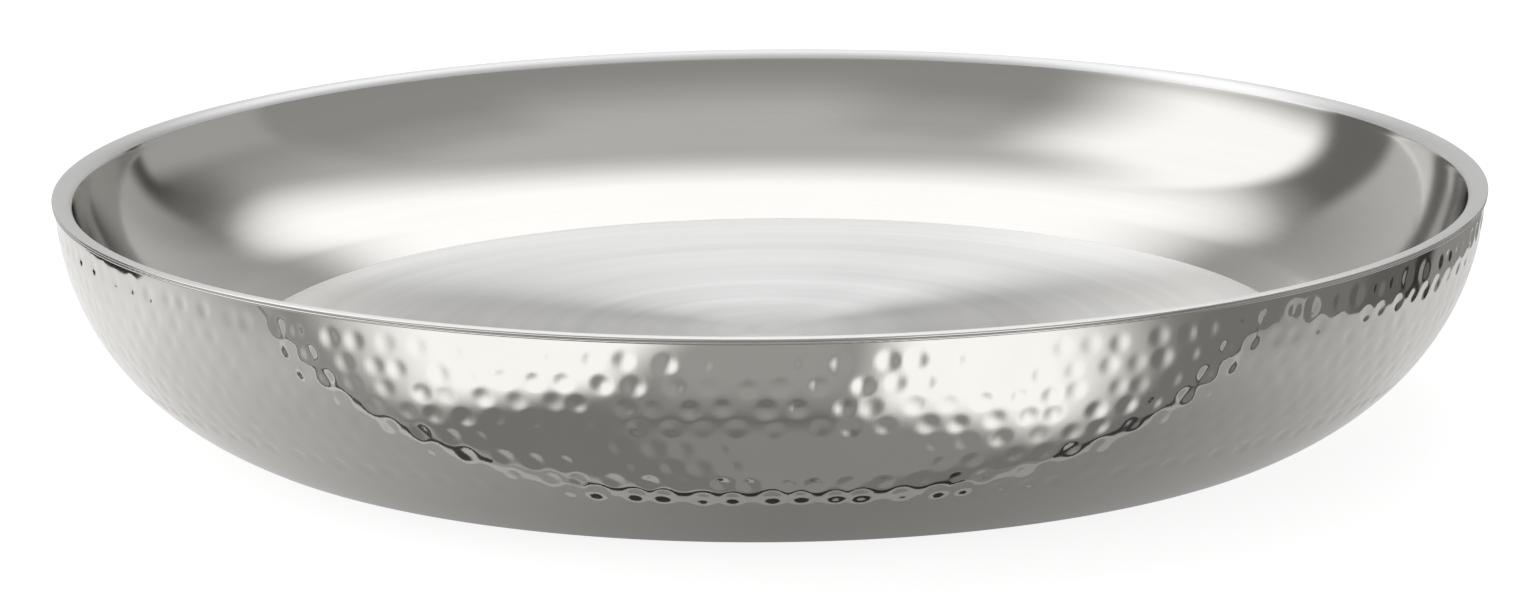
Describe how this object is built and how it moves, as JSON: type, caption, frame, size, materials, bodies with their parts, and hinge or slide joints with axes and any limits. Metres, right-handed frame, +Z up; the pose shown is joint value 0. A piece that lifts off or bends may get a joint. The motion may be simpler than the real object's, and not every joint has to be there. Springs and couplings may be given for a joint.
{
  "type": "double-walled serving tray",
  "caption": "Round double-walled steel serving tray: satin basin with a flat rim, nested in a hammered, mirror-polished outer shell and welded under the rim.",
  "frame": {"origin": "centre of the standing ring, on the table", "axes": "+Z up along the tray's axis, from the table to the open basin; X and Y lie in the table and are alike"},
  "size_m": [0.38, 0.38, 0.058],
  "materials": {
    "satin_steel": "satin",
    "hammered_steel": "polished",
    "weld_steel": "satin",
    "silicone": "matte"
  },
  "bodies": {
    "root": {"inner_bowl": "satin_steel", "outer_shell": "hammered_steel", "rim_weld": "weld_steel", "vent_plug": "silicone"}
  },
  "joints": []
}
